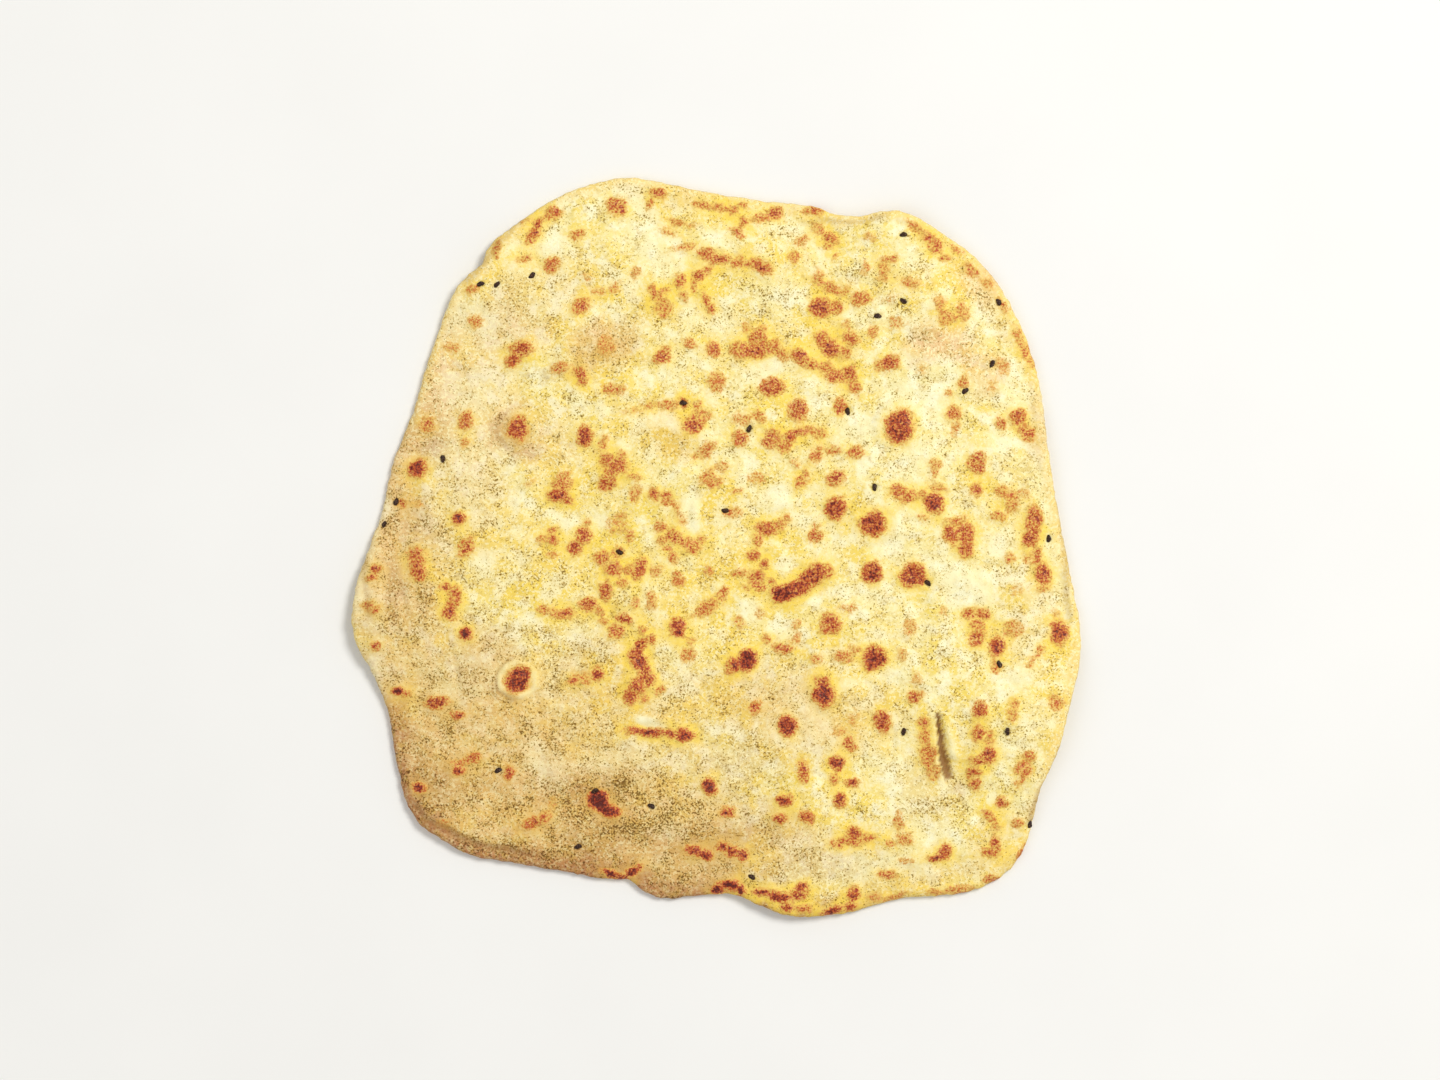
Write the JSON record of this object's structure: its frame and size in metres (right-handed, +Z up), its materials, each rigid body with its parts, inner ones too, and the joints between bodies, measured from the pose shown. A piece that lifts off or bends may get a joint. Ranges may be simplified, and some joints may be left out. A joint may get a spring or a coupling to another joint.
{
  "type": "pita bread",
  "caption": "Thin baked flatbread with an uneven rounded-square outline, low blisters, a lifted rim and nigella seeds pressed into its top crust.",
  "frame": {"origin": "middle of the bread's length and width, on the surface it lies on", "axes": "+Z up out of the seeded top crust, +Y along the bread's longer side, +X across it"},
  "size_m": [0.205, 0.208, 0.0079],
  "materials": {
    "crust": "matte baked dough, cream to yellow with red-brown toast spots and fine dark speckle",
    "seed_coat": "near-black wrinkled seed coat with a faint sheen"
  },
  "bodies": {
    "root": {"bread": "crust", "nigella_seed_01": "seed_coat", "nigella_seed_02": "seed_coat", "nigella_seed_03": "seed_coat", "nigella_seed_04": "seed_coat", "nigella_seed_05": "seed_coat", "nigella_seed_06": "seed_coat", "nigella_seed_07": "seed_coat", "nigella_seed_08": "seed_coat", "nigella_seed_09": "seed_coat", "nigella_seed_10": "seed_coat", "nigella_seed_11": "seed_coat", "nigella_seed_12": "seed_coat", "nigella_seed_13": "seed_coat", "nigella_seed_14": "seed_coat", "nigella_seed_15": "seed_coat", "nigella_seed_16": "seed_coat", "nigella_seed_17": "seed_coat", "nigella_seed_18": "seed_coat", "nigella_seed_19": "seed_coat", "nigella_seed_20": "seed_coat", "nigella_seed_21": "seed_coat", "nigella_seed_22": "seed_coat", "nigella_seed_23": "seed_coat", "nigella_seed_24": "seed_coat", "nigella_seed_25": "seed_coat", "nigella_seed_26": "seed_coat", "nigella_seed_27": "seed_coat", "nigella_seed_28": "seed_coat", "nigella_seed_29": "seed_coat"}
  },
  "joints": []
}
